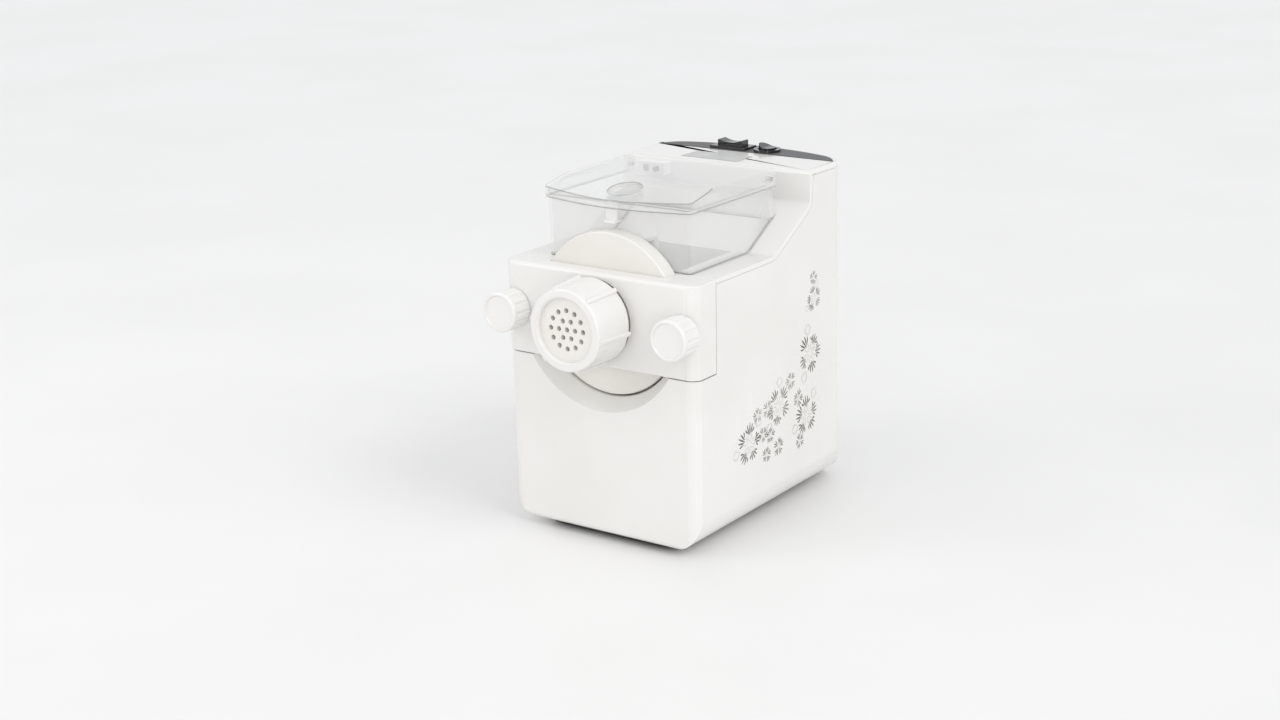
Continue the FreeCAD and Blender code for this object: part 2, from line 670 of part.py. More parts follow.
# Clear bowl on the deck
back_drop = size("back_drop", 7, "how far the bowl's rear wall stops below its rim")
hinge_along = size("hinge_along", 157, "front face to the lid's hinge")
hinge_height = size("hinge_height", 297.5, "table to the lid's hinge")
hinge_pin = size("hinge_pin", 2, "radius of the hinge pins")
ear_radius = size("ear_radius", 5, "radius of the bowl's hinge ears")
floor_view = skyline(0)[0]
rear_floor = deck_height + (bowl_back - ramp_start) * slope
bowl_view = [(bowl_front, deck_height), floor_view, (bowl_back, rear_floor), (bowl_back, bowl_rim),
             (bowl_front, bowl_rim)]
bowl_plan = upright_block("bowl_plan", [(-bowl_side, bowl_front, bowl_corner),
        (bowl_side, bowl_front, bowl_corner), (bowl_side, bowl_back, 2), (-bowl_side, bowl_back, 2)], 0,
    above)
bowl_room = upright_block("bowl_room", [(bowl_wall - bowl_side, bowl_front + bowl_wall,
            bowl_corner - bowl_wall), (bowl_side - bowl_wall, bowl_front + bowl_wall,
            bowl_corner - bowl_wall), (bowl_side - bowl_wall, bowl_back - bowl_wall),
        (bowl_wall - bowl_side, bowl_back - bowl_wall)], 0, above)
bowl_shell = cut("bowl_shell", common("bowl_block", bowl_plan,
        sideways_block("bowl_view", bowl_view, bowl_side)), bowl_room)
ears = []
for i, side in enumerate((-1, 1)):
    low = bowl_side * side if side < 0 else bowl_side - bowl_wall
    ears.append(rod_across("ear_%d" % i, ear_radius, low, low + bowl_wall, hinge_along, hinge_height))
    ears.append(block("ear_foot_%d" % i, low, low + bowl_wall, hinge_along - ear_radius,
            hinge_along + ear_radius, bowl_rim - 2, hinge_height))
bowl = cut("bowl_cut", fuse("bowl_whole", bowl_shell, *ears),
    block("bowl_back_cut", bowl_wall - bowl_side, bowl_side - bowl_wall, bowl_back - bowl_wall - 1,
        bowl_back + 1, bowl_rim - back_drop, above), rod_across("hinge_way", hinge_pin + slip,
        -bowl_side - 1, bowl_side + 1, hinge_along, hinge_height))
node("mixing_bowl", bowl)

# Clear lid, hinged on the bowl's ears
lid_wall = size("lid_wall", 2, "thickness of the lid")
lid_gap = size("lid_gap", 0.5, "gap between lid and bowl")
lid_front = size("lid_front", 31.5, "front face to the lid's front corners")
lid_nose = size("lid_nose", 14, "front face to the point that the lid's bowed front is rounded from")
lid_bow = size("lid_bow", 200, "plan radius of the lid's bowed front")
lid_back = size("lid_back", 163.5, "front face to the lid's rear edge")
lid_skirt = size("lid_skirt", 290, "table to the lid's lower edge")
lid_shoulder = size("lid_shoulder", 296.5, "table to the foot of the lid's front slope")
lid_top = size("lid_top", 306.4, "table to the lid's top")
lid_rise = size("lid_rise", 66, "front face to the end of the lid's front slope")
lid_edge = size("lid_edge", 2, "radius at the lid's rear edge")
lid_side = bowl_side + lid_gap + lid_wall


def lid_plan(name, inset, back):
    """The lid's plan with its bowed front, drawn in by an inset."""
    inset = dim(inset)
    side = lid_side - inset
    fall = (lid_front - lid_nose) / lid_side
    tip = lid_nose + inset * root(fall * fall + 1)
    edge = tip + side * fall
    return upright_block(name, [(-side, back), (-side, edge, 6 - inset), (dim(0), tip, lid_bow + inset),
                                (side, edge, 6 - inset), (side, back)], 0, above)


def lid_view(drop, bottom, back):
    """The lid's side view from its front edge over the slope to its rear edge."""
    drop = dim(drop)
    return [(lid_nose + drop, bottom), (lid_nose + drop, lid_shoulder - drop, 3),
            (lid_nose + 22, lid_top - 6 - drop, 30), (lid_rise, lid_top - drop, 40),
            (back, lid_top - drop, lid_edge), (back, bottom)]


lid_outside = common("lid_outside", lid_plan("lid_plan", 0, lid_back),
                     sideways_block("lid_side_view", lid_view(0, lid_skirt, lid_back), lid_side),
                     lengthways_block("lid_front_view", [(-lid_side, lid_skirt), (lid_side, lid_skirt),
                                                         (lid_side, lid_top, 3), (-lid_side, lid_top, 3)],
                                      0, lid_back))
lid_inside = common("lid_inside", lid_plan("lid_in_plan", lid_wall, lid_back + 1),
    sideways_block("lid_in_side", lid_view(lid_wall, lid_skirt - 1, lid_back + 1), lid_side),
    lengthways_block("lid_in_front", [(lid_wall - lid_side, lid_skirt - 1),
            (lid_side - lid_wall, lid_skirt - 1), (lid_side - lid_wall, lid_top - lid_wall, 1.5),
            (lid_wall - lid_side, lid_top - lid_wall, 1.5)], 0, lid_back + 1))
funnel_along = size("funnel_along", 45, "front face to the middle of the water funnel")
funnel_radius = size("funnel_radius", 14.5, "radius of the water funnel")
funnel_floor = size("funnel_floor", 294.5, "table to the water funnel's floor")
drain_side = size("drain_side", 1.6, "half the width of a drain slot")
drain_half = size("drain_half", 5, "half the length of a drain slot")
drain_step = size("drain_step", 8, "distance from one drain slot to the next")
lid_room = common("lid_room", lid_plan("lid_room_plan", 0, lid_back),
                  sideways_block("lid_room_view", lid_view(0, lid_skirt, lid_back), lid_side))
funnel_wall = common("funnel_wall", lid_room, rod_up("funnel_cup", funnel_radius + 1.5,
                     funnel_floor - 1.5, above, 0, funnel_along))
drains = [block("drain_%d" % i, drain_step * i - drain_side, drain_step * i + drain_side,
        funnel_along - drain_half, funnel_along + drain_half, funnel_floor - 3, above) for i in (-1, 0, 1)]
lid = cut("lid_cut", fuse("lid_whole", cut("lid_shell", lid_outside, lid_inside), funnel_wall),
    rod_up("funnel", funnel_radius, funnel_floor, above, 0, funnel_along), *drains,
    rod_across("lid_pin_way", hinge_pin + press, -lid_side - 1, lid_side + 1, hinge_along, hinge_height))
node("lid", lid)
node("hinge_pins", fuse("pins", *[rod_across("pin_%d" % i, hinge_pin, low,
                low + bowl_wall + lid_gap + lid_wall, hinge_along, hinge_height) for i,
            low in enumerate((-lid_side, bowl_side - bowl_wall))]))
catch_side = size("catch_side", 5.5, "half the width of the lid's catch")
catch_drop = size("catch_drop", 13, "length of the lid's catch below the lid")
catch_along = size("catch_along", 24.5, "front face to the catch's front")
catch_thick = size("catch_thick", 3, "thickness of the catch")
node("lid_catch", fuse("catch", block("catch_tongue", -catch_side, catch_side, catch_along,
            catch_along + catch_thick, lid_skirt - catch_drop, lid_shoulder - lid_wall),
        block("catch_foot", -catch_side, catch_side, catch_along - 2.5, bowl_front - seam,
            lid_skirt - catch_drop, lid_skirt - catch_drop + 2.5)))

# Auger: mixing arms in the tub and a screw in the nozzle, on one shaft
screw_gap = size("screw_gap", 0.6, "gap round the auger's screw")
hub_radius = size("hub_radius", 9, "radius of the auger's hub")
screw_pitch = size("screw_pitch", 21, "pitch of the auger's screw")
flight = size("flight", 5, "thickness of the screw's flight")
arm_reach = size("arm_reach", 57, "radius swept by the mixing arms")
arm_width = size("arm_width", 9, "width of a mixing arm")
arm_thick = size("arm_thick", 6, "thickness of a mixing arm")
drive_square = size("drive_square", 5, "half the width of the auger's square end")
auger_front = die_back + 2
auger_back = tub_back - tub_wall - 1
screw_back = plate_back - 2
screw_front = auger_front + 3
auger = turned("auger", [(auger_front, dim(0)), (auger_front, hub_radius - 2, 1), (screw_back, hub_radius),
                         (auger_back, hub_radius + 2, 1), (auger_back, dim(0))])
thread_sketch = new_sketch(auger, "flight_section", "YZ_Plane")
profile(thread_sketch, [(screw_front, hub_radius - 4), (screw_front, neck_inner - screw_gap),
        (screw_front + flight * 0.6, neck_inner - screw_gap), (screw_front + flight, hub_radius - 4)])
thread = auger.newObject("PartDesign::AdditiveHelix", "flight")
thread.Profile = thread_sketch
thread.ReferenceAxis = (origin_part(auger, "Y_Axis"), [""])
thread.Mode = 0
bind(thread, "Pitch", screw_pitch)
bind(thread, "Height", screw_back - screw_front - flight)
arms = []
first_arm = bowl_front + bowl_wall + arm_width / 2 + 2
arm_step = (auger_back - first_arm - 8) / 3
for i in range(4):
    place = first_arm + arm_step * i
    arm_sketch = new_sketch(auger, "arm_view_%d" % i, "XY_Plane", 0)
    half = arm_width / 2
    profile(arm_sketch, [(-half, place - half, 3), (half, place - half, 3), (half, place + half, 3),
                         (-half, place + half, 3)])
    arm = pad(auger, "arm_%d" % i, arm_sketch, arm_reach, i % 2 == 1)
    arms.append(arm)
bar_sketch = new_sketch(auger, "bar_view", "XZ_Plane", -first_arm)
profile(bar_sketch, [(-arm_thick, arm_reach - 6), (arm_thick, arm_reach - 6, 2), (arm_thick, arm_reach, 2),
                     (-arm_thick, arm_reach)])
pad(auger, "bar", bar_sketch, arm_step * 2, True)
low_bar_sketch = new_sketch(auger, "low_bar_view", "XZ_Plane", -first_arm - arm_step)
profile(low_bar_sketch, [(arm_thick, 6 - arm_reach), (-arm_thick, 6 - arm_reach, 2),
        (-arm_thick, -arm_reach, 2), (arm_thick, -arm_reach)])
pad(auger, "low_bar", low_bar_sketch, arm_step * 2, True)
square_sketch = new_sketch(auger, "square_view", "XZ_Plane", -auger_back)
profile(square_sketch, [(-drive_square, -drive_square), (drive_square, -drive_square),
        (drive_square, drive_square), (-drive_square, drive_square)])
square_length = size("square_length", 16, "length of the auger's square end")
pad(auger, "square", square_sketch, square_length, True)
node("auger", auger, 0, 0, axis_height)

# Gear train from the motor up to the auger's shaft
tooth = size("tooth", 2, "module of the gears")
wheel_teeth = size("wheel_teeth", 45, "teeth of each large wheel")
idler_teeth = size("idler_teeth", 11, "teeth of the idler's pinion")
motor_teeth = size("motor_teeth", 10, "teeth of the motor's pinion")
gear_play = size("gear_play", 0.5, "play between meshing teeth")
case_front = size("case_front", 154, "front face to the gear case")
case_wall = size("case_wall", 2.5, "thickness of the gear case's walls")
wheel_width = size("wheel_width", 9, "width of the idler's wheel")
output_width = size("output_width", 12, "width of the output wheel")
idler_pin_radius = size("idler_pin_radius", 4, "radius of the idler's pin")
motor_shaft_radius = size("motor_shaft_radius", 4, "radius of the motor's shaft")
wheel_pitch = tooth * wheel_teeth / 2
idler_height = axis_height - wheel_pitch - tooth * idler_teeth / 2
motor_height = idler_height - wheel_pitch - tooth * motor_teeth / 2
case_radius = wheel_pitch + tooth + 0.8 + case_wall
low_radius = tooth * motor_teeth / 2 + tooth * 2 + case_wall * 2
first_plane = case_front + case_wall + 3
second_plane = first_plane + wheel_width + 3
case_back = second_plane + output_width + 3
case_end = case_back + case_wall


def gear(body, name, teeth, start, width, first_angle):
    """Teeth with straight flanks round the body's Y axis, the first at an angle above the horizontal."""
    pitch_radius = tooth * teeth / 2
    foot = pitch_radius - tooth * 1.15
    tip = pitch_radius + tooth * 0.85
    half_foot = tooth * 0.95 - gear_play / 4
    half_tip = tooth * 0.42 - gear_play / 4
    turn = Rotation(Vector(0, 0, 1), first_angle)
    core = new_sketch(body, name + "_core_view", "XZ_Plane", -dim(start))
    circle(core, foot)
    pad(body, name + "_core", core, width, True)
    view = new_sketch(body, name + "_tooth_view", "XZ_Plane", -dim(start))
    profile(view, [(foot - 0.5, -half_foot), (tip, -half_tip), (tip, half_tip), (foot - 0.5, half_foot)])
    view.AttachmentOffset = FreeCAD.Placement(view.AttachmentOffset.Base, turn)
    first = pad(body, name + "_tooth", view, width, True)
    return polar(body, name + "_teeth", [first], int(teeth.number))


def bore(body, name, radius, start):
    doc.recompute()
    view = new_sketch(body, name + "_view", "XZ_Plane", 0 - dim(start))
    circle(view, radius)
    return pocket_through(body, name, view)


shaft = new_body("shaft")
shaft_view = new_sketch(shaft, "shaft_view", "XZ_Plane", -(auger_back + seam))
circle(shaft_view, shaft_radius)
pad(shaft, "shaft_pad", shaft_view, case_back - auger_back - seam * 2, True)
doc.recompute()
socket_view = new_sketch(shaft, "socket_view", "XZ_Plane", -(auger_back + seam))
socket_half = drive_square + slip
profile(socket_view, [(-socket_half, -socket_half), (socket_half, -socket_half), (socket_half, socket_half),
                      (-socket_half, socket_half)])
socket = shaft.newObject("PartDesign::Pocket", "socket")
socket.Profile = socket_view
bind(socket, "Length", square_length + seam)
node("output_shaft", shaft, 0, 0, axis_height)
node("shaft_seal", turned("shaft_ring", [(tub_back + bush_length, shaft_radius + slip),
            (tub_back + bush_length, bush_radius - 1), (tub_back + bush_length + 5, bush_radius - 1, 1),
            (tub_back + bush_length + 5, shaft_radius + slip)]), 0, 0, axis_height)

output_gear = new_body("output_wheel")
gear(output_gear, "output", wheel_teeth, second_plane, output_width, -90)
bore(output_gear, "output_bore", shaft_radius, second_plane)
node("output_gear", output_gear, 0, 0, axis_height)

idler = new_body("idler")
gear(idler, "idler_wheel", wheel_teeth, first_plane, wheel_width, -90)
gear(idler, "idler_pinion", idler_teeth, first_plane + wheel_width,
    case_back - first_plane - wheel_width - 1, 90 + 180 / idler_teeth.number)
bore(idler, "idler_bore", idler_pin_radius + slip, first_plane)
node("idler_gear", idler, 0, 0, idler_height)
node("idler_pin", rod_along("idler_rod", idler_pin_radius, case_front + case_wall, case_back, 0,
        idler_height))

pinion = new_body("pinion")
gear(pinion, "pinion", motor_teeth, first_plane - 1, wheel_width + 2, 90 + 180 / motor_teeth.number)
bore(pinion, "pinion_bore", motor_shaft_radius, first_plane - 1)
node("motor_pinion", pinion, 0, 0, motor_height)

# Gear case, motor, fan and their stand
def case_form(name, inset, start, stop):
    big = case_radius - inset
    small = low_radius - inset
    return fuse(name, rod_along(name + "_top", big, start, stop, 0, axis_height),
                rod_along(name + "_middle", big, start, stop, 0, idler_height),
                block(name + "_between", -big, big, start, stop, idler_height, axis_height),
                rod_along(name + "_low", small, start, stop, 0, motor_height),
                block(name + "_link", -small, small, start, stop, motor_height, idler_height))


node("gear_case", cut("case_cut", case_form("case_outside", dim(0), case_front, case_back),
        case_form("case_inside", case_wall, case_front + case_wall, case_back + 1),
        rod_along("case_shaft_way", shaft_radius + slip, case_front - 1, case_front + case_wall + 1, 0,
            axis_height), rod_along("case_motor_way", motor_shaft_radius + slip, case_front - 1,
            case_front + case_wall + 1, 0, motor_height)))
node("gear_case_cover", case_form("cover_plate", dim(0), case_back, case_end))
motor_radius = size("motor_radius", 34, "radius of the motor's can")
motor_front = size("motor_front", 64, "front face to the motor's can")
motor_nose = size("motor_nose", 20, "radius of the motor's mounting nose")
nose_length = size("nose_length", 5, "length of the motor's mounting nose")
fan_radius = size("fan_radius", 30, "radius of the fan")
fan_width = size("fan_width", 8, "width of the fan")
fan_blades = size("fan_blades", 9, "number of the fan's blades")
fan_front = motor_front - fan_width - 4
node("motor", turned("motor_can", [(motor_front, motor_shaft_radius + slip),
            (motor_front, motor_radius - 8), (motor_front + 6, motor_radius, 3),
            (case_front - nose_length, motor_radius, 3), (case_front - nose_length, motor_nose),
            (case_front, motor_nose), (case_front, motor_shaft_radius + slip)]), 0, 0, motor_height)
node("motor_shaft", rod_along("motor_rod", motor_shaft_radius, fan_front - 3, first_plane + wheel_width + 2,
        0, motor_height))
fan = new_body("fan")
fan_view = new_sketch(fan, "fan_hub_view", "XZ_Plane", -fan_front)
circle(fan_view, motor_shaft_radius * 2)
pad(fan, "fan_hub", fan_view, fan_width, True)
blade_view = new_sketch(fan, "blade_view", "XZ_Plane", -fan_front)
profile(blade_view, [(motor_shaft_radius * 2 - 1, dim(-1)), (fan_radius, dim(4)), (fan_radius, dim(6)),
                     (motor_shaft_radius * 2 - 1, dim(1))])
blade = pad(fan, "blade", blade_view, fan_width, True)
polar(fan, "blades", [blade], int(fan_blades.number))
bore(fan, "fan_bore", motor_shaft_radius, fan_front)
node("cooling_fan", fan, 0, 0, motor_height)
stand_side = size("stand_side", 42, "half the width of the motor's stand")
stand_thick = size("stand_thick", 3, "thickness of the stand's plates")
saddle_side = size("saddle_side", 30, "half the width of the motor's saddles")
stand_front = motor_front + 14
stand_floor = base_height + stand_thick
stand = cut("stand_cut", fuse("stand_whole", block("stand_plate", -stand_side, stand_side, stand_front,
            case_end, base_height, stand_floor), block("saddle_front", -saddle_side, saddle_side,
            stand_front, stand_front + stand_thick, stand_floor - 1, motor_height),
        block("saddle_back", -saddle_side, saddle_side, case_front - nose_length - 12,
            case_front - nose_length - 12 + stand_thick, stand_floor - 1, motor_height),
        block("case_rest", -low_radius, low_radius, case_front + case_wall, case_back - 2, stand_floor - 1,
            motor_height)), rod_along("motor_room", motor_radius, stand_front - 1, case_front - 1, 0,
        motor_height), rod_along("case_room", low_radius, case_front - 1, case_end, 0, motor_height))
node("motor_stand", stand)

# Base plate, feet and circuit board
base_corner = size("base_corner", 12, "plan radius of the base plate")
board_side = size("board_side", 48, "half the width of the circuit board")
board_along = size("board_along", 216, "front face to the circuit board")
board_thick = size("board_thick", 1.6, "thickness of the circuit board")
board_top = size("board_top", 84, "table to the circuit board's top")
post_height = size("post_height", 16, "height of the board's slotted posts")
base_bottom = base_height - base_thick
base_corners = [(-base_side, base_front, base_corner), (base_side, base_front, base_corner),
                (base_side, base_rear, base_corner), (-base_side, base_rear, base_corner)]
posts = [block("post_%d" % i, board_side * side - 5, board_side * side + 5, board_along - 4,
               board_along + board_thick + 4, base_height - 1, base_height + post_height)
         for i, side in enumerate((-1, 1))]
base_slots = [block("base_slot_%d" % i, -saddle_side, saddle_side, 22 + 8 * i, 26 + 8 * i, 0,
        base_height + 1) for i in range(5)]
board_room = block("board_room", -board_side - press, board_side + press, board_along - press,
                   board_along + board_thick + press, base_height + 3, board_top)
node("base_plate", cut("base_cut", fuse("base_whole", upright_block("base_slab", base_corners, base_bottom,
                base_height), *posts), board_room, *base_slots))
foot_radius = size("foot_radius", 9, "radius of a rubber foot")
foot_across = size("foot_across", 50, "middle plane to a foot")
foot_front = size("foot_front", 26, "front face to the front feet")
foot_rear = size("foot_rear", 220, "front face to the rear feet")
feet = [rod_up("foot_%d_%d" % (i, j), foot_radius, 0, base_bottom, foot_across * side, along)
        for i, side in enumerate((-1, 1)) for j, along in enumerate((foot_front, foot_rear))]
node("rubber_feet", fuse("feet", *feet))
node("circuit_board", block("board", -board_side, board_side, board_along, board_along + board_thick,
                            base_height + 3, board_top))
node("board_parts", fuse("board_set", block("relay", -34, -16, board_along + board_thick,
            board_along + board_thick + 14, 40, 66), block("transformer", -6, 22, board_along + board_thick,
            board_along + board_thick + 18, 30, 58), rod_along("capacitor", 6, board_along + board_thick,
            board_along + board_thick + 16, 34, 50), block("terminals", -40, 40, board_along + board_thick,
            board_along + board_thick + 8, board_top - 12, board_top - 4)))

# Power inlet in the rear wall
socket_side = size("socket_side", 11.5, "half the width of the inlet's socket")
inlet_socket = size("inlet_socket", 7.5, "half the height of the inlet's socket")
socket_depth = size("socket_depth", 17, "depth of the inlet's socket")
contact_length = size("contact_length", 12, "length of the inlet's contacts")
inlet_back = rear_depth + inlet_flange
node("power_inlet", cut("inlet_cut", fuse("inlet_whole",
            block("inlet_block", -inlet_side + seam, inlet_side - seam, inlet_back - socket_depth - 3,
                inlet_back, inlet_height - inlet_half + seam, inlet_height + inlet_half - seam),
            block("inlet_plate", -flange_side, flange_side, rear_depth - flange_sink, inlet_back,
                inlet_height - flange_half, inlet_height + flange_half)),
        block("inlet_socket_room", -socket_side, socket_side, inlet_back - socket_depth, inlet_back + 1,
            inlet_height - inlet_socket, inlet_height + inlet_socket)))
contacts = [block("contact_%d" % i, 7 * i - 1, 7 * i + 1, inlet_back - socket_depth,
        inlet_back - socket_depth + contact_length, inlet_height - 2 + lift, inlet_height + 2 + lift) for i,
    lift in ((-1, -1.5), (0, 1.5), (1, -1.5))]
node("inlet_contacts", fuse("contacts", *contacts))

# Rocker switches on the head
switch_depth = size("switch_depth", 14, "depth of the switches below the head")
bezel_height = size("bezel_height", 2.2, "height of the switches' frames")
bezel_reach = size("bezel_reach", 4, "width of the switches' frames")
bezel_wall = size("bezel_wall", 0.8, "thickness of the switches' cases")
pivot_lift = size("pivot_lift", 1.3, "height of the rockers' pivots above the head")
pivot_radius = size("pivot_radius", 1, "radius of the rockers' pivots")
pivot_reach = size("pivot_reach", 1.5, "how far the rockers' pivots lie in their frames")
face_height = head_height + seam
pivot_height = head_height + pivot_lift
deep = head_height - switch_depth
big_room = big_half - seam - bezel_wall
node("large_switch_frame", cut("large_frame_cut", fuse("large_frame",
            block("large_case", big_across - big_side + seam, big_across + big_side - seam,
                switch_along - big_half + seam, switch_along + big_half - seam, deep, face_height),
            block("large_rim", big_across - big_side - bezel_reach, big_across + big_side + bezel_reach,
                switch_along - big_half - bezel_reach + 1, switch_along + big_half + bezel_reach - 1,
                face_height, face_height + bezel_height)), block("large_room",
            big_across - big_side + seam + bezel_wall, big_across + big_side - seam - bezel_wall,
            switch_along - big_room, switch_along + big_room, deep + 2, above),
        rod_along("large_pivot_way", pivot_radius + slip, switch_along - big_room - pivot_reach,
            switch_along + big_room + pivot_reach, big_across, pivot_height)))
small_room = small_radius - seam - bezel_wall
node("small_switch_frame", cut("small_frame_cut", fuse("small_frame",
            rod_up("small_case", small_radius - seam, deep, face_height, small_across, switch_along),
            rod_up("small_rim", small_radius + bezel_reach - 1.5, face_height, face_height + bezel_height,
                small_across, switch_along)), rod_up("small_room", small_room, deep + 2, above,
            small_across, switch_along), rod_along("small_pivot_way", pivot_radius + slip,
            switch_along - small_room - pivot_reach, switch_along + small_room + pivot_reach, small_across,
            pivot_height)))
big_rock = big_side - 2
big_rock_half = big_room - seam
rock_low = size("rock_low", 3, "depth of the large rocker below its pivot")
rock_high = size("rock_high", 7, "height of the large rocker's ends above its pivot")
rock_dip = size("rock_dip", 3, "height of the large rocker's middle above its pivot")
big_end = big_room + pivot_reach - slip
node("rocker_large", fuse("large_rocker_whole", lengthways_block("large_rocker", [
    (-big_rock, -rock_low), (big_rock, -rock_low), (big_rock, rock_high, 1), (dim(0), rock_dip, 30),
    (-big_rock, rock_high, 1)], -big_rock_half, big_rock_half),
    rod_along("large_pivot", pivot_radius, -big_end, big_end)), big_across, switch_along, pivot_height)
small_rock = small_room - 1.2
small_end = small_room + pivot_reach - slip
node("rocker_small", fuse("small_rocker_whole", common("small_rocker",
            rod_up("small_rocker_round", small_rock, -2, 10, 0, 0),
            lengthways_block("small_rocker_view", [(-small_rock, dim(-2)), (small_rock, dim(-2)),
                    (small_rock, dim(2.5)), (dim(0), dim(2.6), 12), (-small_rock, dim(6))], -small_rock,
                small_rock)), rod_along("small_pivot", pivot_radius, -small_end, small_end)), small_across,
    switch_along, pivot_height)

# Safety switch on the head's face behind the lid
guard_left = size("guard_left", -76, "middle plane to the guard's outer end")
guard_right = size("guard_right", -46, "middle plane to the guard's inner end")
guard_front = size("guard_front", 170, "front face to the guard's front")
guard_bottom = size("guard_bottom", 286.5, "table to the guard's underside")
guard_top = size("guard_top", 297.5, "table to the guard's top")
plunger_across = size("plunger_across", -54, "middle plane to the plunger")
plunger_radius = size("plunger_radius", 2.5, "radius of the plunger")
plunger_out = size("plunger_out", 3, "how far the plunger stands out")
plunger_length = size("plunger_length", 9, "length of the plunger")
window_across = size("window_across", -66, "middle plane to the guard's window")
window_half = size("window_half", 3, "half the side of the guard's window")
plunger_height = (guard_bottom + guard_top) / 2
lean = head_lean / (head_height - ramp_top)
guard_view = [(guard_front, guard_bottom), (ramp_end + (guard_bottom - ramp_top) * lean, guard_bottom),
              (ramp_end + (guard_top - ramp_top) * lean, guard_top), (guard_front, guard_top)]
guard_side = sideways_block("guard_view", guard_view, half_width)
node("safety_guard", cut("guard_cut", common("guard", guard_side,
            block("guard_length", guard_left, guard_right, guard_front - 1, beyond, 0, above)),
        rod_along("plunger_way", plunger_radius + slip, guard_front - 1, guard_front + plunger_length,
            plunger_across, plunger_height), block("window_way", window_across - window_half,
            window_across + window_half, guard_front - 1, guard_front + 2, plunger_height - window_half,
            plunger_height + window_half)))
node("guard_window", block("window", window_across - window_half + press,
        window_across + window_half - press, guard_front + 0.4, guard_front + 2,
        plunger_height - window_half + press, plunger_height + window_half - press))
node("safety_plunger", rod_along("plunger", plunger_radius, guard_front - plunger_out,
        guard_front - plunger_out + plunger_length, plunger_across, plunger_height))
node("micro_switch", block("micro", plunger_across - 10, plunger_across + 10, 192, 202,
                           head_height - cover_thick - 16, head_height - cover_thick))

doc.recompute()
faults = []
for item in doc.Objects:
    if "Invalid" in item.State or "Error" in item.State:
        faults.append(item.Label)
for item in nodes:
    if item.Shape.isNull() or not item.Shape.isValid() or item.Shape.Volume <= 0:
        faults.append("shape of " + item.Label)
if faults:
    raise SystemExit("These did not build: " + ", ".join(faults))
for item in nodes:
    item.Shape.exportStep("parts/" + item.Label + ".step")
    print(item.Label, len(item.Shape.Solids), round(item.Shape.Volume))
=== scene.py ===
"""Looks of the electric pasta maker: its materials, ornament, stage, light and camera."""
import json
import math
import random
import bmesh
import bpy
from mathutils import Matrix, Vector


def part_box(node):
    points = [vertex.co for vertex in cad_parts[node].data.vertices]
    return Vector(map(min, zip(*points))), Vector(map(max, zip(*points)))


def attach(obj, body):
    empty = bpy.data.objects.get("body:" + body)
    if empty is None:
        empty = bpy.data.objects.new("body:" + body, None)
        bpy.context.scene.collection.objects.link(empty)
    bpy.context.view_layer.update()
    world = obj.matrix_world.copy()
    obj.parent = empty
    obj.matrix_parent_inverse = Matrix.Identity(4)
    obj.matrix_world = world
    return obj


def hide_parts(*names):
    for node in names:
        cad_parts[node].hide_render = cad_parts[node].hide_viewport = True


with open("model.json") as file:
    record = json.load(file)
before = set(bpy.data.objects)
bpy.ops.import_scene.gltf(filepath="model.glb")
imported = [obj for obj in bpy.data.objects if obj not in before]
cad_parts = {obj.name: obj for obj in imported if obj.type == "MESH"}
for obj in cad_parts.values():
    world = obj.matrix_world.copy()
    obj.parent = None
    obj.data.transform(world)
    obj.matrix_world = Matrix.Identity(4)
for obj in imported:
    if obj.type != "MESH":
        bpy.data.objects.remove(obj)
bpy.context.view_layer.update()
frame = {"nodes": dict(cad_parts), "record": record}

nodes = frame["nodes"]
body_of_node = {n: b for b, names in frame["record"]["behaviour"]["bodies"].items() for n in names}
MM = 0.001
# The machine's face lies this far in front of the origin.
FACE_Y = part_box("front_panel")[0].y
COAT_ROUGHNESS = 0.06
PLASTIC_IOR = 1.46
GRAIN_DEPTH = 0.2 * MM
# Edges are rounded where their faces turn by more than this many degrees.
SHARP_ANGLE = 30
# Behind this distance from the face, clear pieces keep nearly sharp edges, to clear their hinge.
HINGE_ZONE = 148
HINGE_SHARE = 0.15
# The nut: its axis above the table, its foot before the face, its length, radius and taper
NUT_AXIS = 200
NUT_FOOT = 4.6
NUT_LENGTH = 40.9
NUT_RADIUS = 36.6
NUT_TAPER = 1.3
NUT_CORE = 29
# The nut's grips: degrees from one to the next, their offset, half width, fading and slimming
GRIP_PITCH = 60
GRIP_OFFSET = 10
GRIP_HALF = 11
GRIP_FADE = 0.75
GRIP_SLIM = 0.5
KNOB_GROWTH = 1.055
# The body's side: half width at its foot, widening, the foot's height and the height it widens over
SIDE_FOOT = 97.5
SIDE_WIDENING = 2.5
FOOT_HEIGHT = 6.5
SIDE_HEIGHT = 295.2
PRINT_LIFT = 0.06
PETALS = 5
LARGE_FLOWER = 10
LABEL_HEIGHT = 301.85
FLOOR_HALF = 40


def at(x, y, z):
    """A place given in millimetres from the panel's face, the middle plane and the table."""
    return Vector((x * MM, FACE_Y + y * MM, z * MM))


# Materials
def material(name, color, roughness, metallic=0.0, coat=0.0):
    """Make a plain opaque material."""
    mat = bpy.data.materials.new(name)
    mat.use_nodes = True
    shader = mat.node_tree.nodes["Principled BSDF"]
    shader.inputs["Base Color"].default_value = (*color, 1)
    shader.inputs["Roughness"].default_value = roughness
    shader.inputs["Metallic"].default_value = metallic
    shader.inputs["Coat Weight"].default_value = coat
    shader.inputs["Coat Roughness"].default_value = COAT_ROUGHNESS
    shader.inputs["IOR"].default_value = PLASTIC_IOR
    return mat


